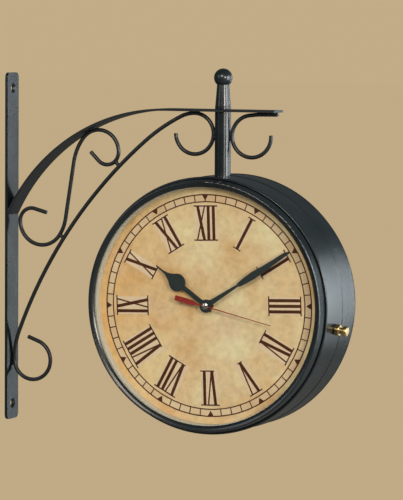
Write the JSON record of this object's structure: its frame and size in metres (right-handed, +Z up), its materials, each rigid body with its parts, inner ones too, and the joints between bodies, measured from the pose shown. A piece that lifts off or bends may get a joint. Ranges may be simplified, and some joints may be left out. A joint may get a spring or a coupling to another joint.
{
  "type": "double sided wall clock",
  "caption": "Round drum clock with a dial on each side, hung by a post from a scrolled wall bracket; the rear half swings open.",
  "frame": {"origin": "centre of the wall bar's back face, on the wall", "axes": "+X straight out from the wall, +Z up, the front dial faces -Y and the rear dial +Y"},
  "size_m": [0.3757, 0.1, 0.363],
  "materials": {
    "black_paint": "semi-gloss stove enamel, blue-black",
    "zinc_steel": "bright zinc plate",
    "brass": "turned, lightly tarnished",
    "glass": "clear float glass",
    "white_plastic": "plain white moulding",
    "printed_dial": "printed aged-parchment sheet on aluminium",
    "black_plastic": "moulded",
    "battery_sleeve": null,
    "black_rubber": "matt",
    "hand_black": "blue-black lacquer",
    "hand_red": "red lacquer",
    "cap_metal": "polished"
  },
  "bodies": {
    "bracket": {"wall_bar": "black_paint", "arch_strip": "black_paint", "long_scroll": "black_paint", "short_scroll": "black_paint", "end_scroll": "black_paint", "post_tube": "black_paint", "tie_rod": "zinc_steel", "tie_rod_washer": "zinc_steel", "tie_rod_nut": "zinc_steel", "finial_collar": "black_paint", "finial": "black_paint", "front_shell": "black_paint", "coupling_band": "black_paint", "clamp_bracket": "black_paint", "hinge_leaf_fixed": "black_paint", "hinge_pin": "zinc_steel", "front_bezel": "black_paint", "front_glass": "glass", "front_spacer_ring": "white_plastic", "front_dial": "printed_dial", "front_retaining_ring": "zinc_steel", "front_movement_case": "black_plastic", "front_battery": "battery_sleeve", "front_battery_contacts": "zinc_steel", "front_centre_bush": "brass", "front_bush_washer": "black_rubber", "front_bush_nut": "brass"},
    "rear_door": {"rear_shell": "black_paint", "latch_fork": "black_paint", "hinge_leaf_door": "black_paint", "rear_bezel": "black_paint", "rear_glass": "glass", "rear_spacer_ring": "white_plastic", "rear_dial": "printed_dial", "rear_retaining_ring": "zinc_steel", "rear_movement_case": "black_plastic", "rear_battery": "battery_sleeve", "rear_battery_contacts": "zinc_steel", "rear_centre_bush": "brass", "rear_bush_washer": "black_rubber", "rear_bush_nut": "brass"},
    "thumb_screw": {"thumb_screw": "brass", "screw_clip": "zinc_steel"},
    "clamp_bar": {"clamp_bar": "zinc_steel"},
    "front_hour": {"front_hour_pipe": "brass", "front_hour_hand": "hand_black"},
    "front_minute": {"front_minute_arbor": "brass", "front_minute_hand": "hand_black"},
    "front_second": {"front_second_hand": "hand_red", "front_second_cap": "cap_metal"},
    "front_knob": {"front_setting_knob": "black_plastic"},
    "rear_hour": {"rear_hour_pipe": "brass", "rear_hour_hand": "hand_black"},
    "rear_minute": {"rear_minute_arbor": "brass", "rear_minute_hand": "hand_black"},
    "rear_second": {"rear_second_hand": "hand_red", "rear_second_cap": "cap_metal"},
    "rear_knob": {"rear_setting_knob": "black_plastic"}
  },
  "joints": [
    {"name": "door_hinge", "type": "hinge", "parent": "bracket", "child": "rear_door", "pos_m": [0.1058, 0.003, -0.0489], "axis": [0, 0, 1], "range_deg": [0, 95]},
    {"name": "thumb_screw_turn", "type": "hinge", "parent": "bracket", "child": "thumb_screw", "pos_m": [0.35452, -0.0116, -0.06767], "axis": [0.9877, 0, -0.1564], "range_deg": [0, 720]},
    {"name": "clamp_bar_slide", "type": "slide", "parent": "bracket", "child": "clamp_bar", "axis": [-0.9877, 0, 0.1564], "range_m": [0, 0.0016]},
    {"name": "front_minute_turn", "type": "hinge", "parent": "bracket", "child": "front_minute", "pos_m": [0.236, -0.0414, -0.0489], "axis": [0, 1, 0], "continuous": true},
    {"name": "front_hour_turn", "type": "hinge", "parent": "bracket", "child": "front_hour", "pos_m": [0.236, -0.0393, -0.0489], "axis": [0, 1, 0], "continuous": true},
    {"name": "front_second_turn", "type": "hinge", "parent": "bracket", "child": "front_second", "pos_m": [0.236, -0.043, -0.0489], "axis": [0, 1, 0], "continuous": true},
    {"name": "front_knob_turn", "type": "hinge", "parent": "bracket", "child": "front_knob", "pos_m": [0.25, -0.0157, -0.0369], "axis": [0, 1, 0], "continuous": true},
    {"name": "rear_minute_turn", "type": "hinge", "parent": "rear_door", "child": "rear_minute", "pos_m": [0.236, 0.0414, -0.0489], "axis": [0, -1, 0], "continuous": true},
    {"name": "rear_hour_turn", "type": "hinge", "parent": "rear_door", "child": "rear_hour", "pos_m": [0.236, 0.0393, -0.0489], "axis": [0, -1, 0], "continuous": true},
    {"name": "rear_second_turn", "type": "hinge", "parent": "rear_door", "child": "rear_second", "pos_m": [0.236, 0.043, -0.0489], "axis": [0, -1, 0], "continuous": true},
    {"name": "rear_knob_turn", "type": "hinge", "parent": "rear_door", "child": "rear_knob", "pos_m": [0.222, 0.0157, -0.0369], "axis": [0, -1, 0], "continuous": true}
  ],
  "couplings": [
    {"joint": "clamp_bar_slide", "follows": "thumb_screw_turn", "m_per_rad": 0.00012732},
    {"joint": "front_hour_turn", "follows": "front_minute_turn", "ratio": 0.083333},
    {"joint": "front_knob_turn", "follows": "front_minute_turn", "ratio": -1},
    {"joint": "rear_hour_turn", "follows": "rear_minute_turn", "ratio": 0.083333},
    {"joint": "rear_knob_turn", "follows": "rear_minute_turn", "ratio": -1}
  ]
}
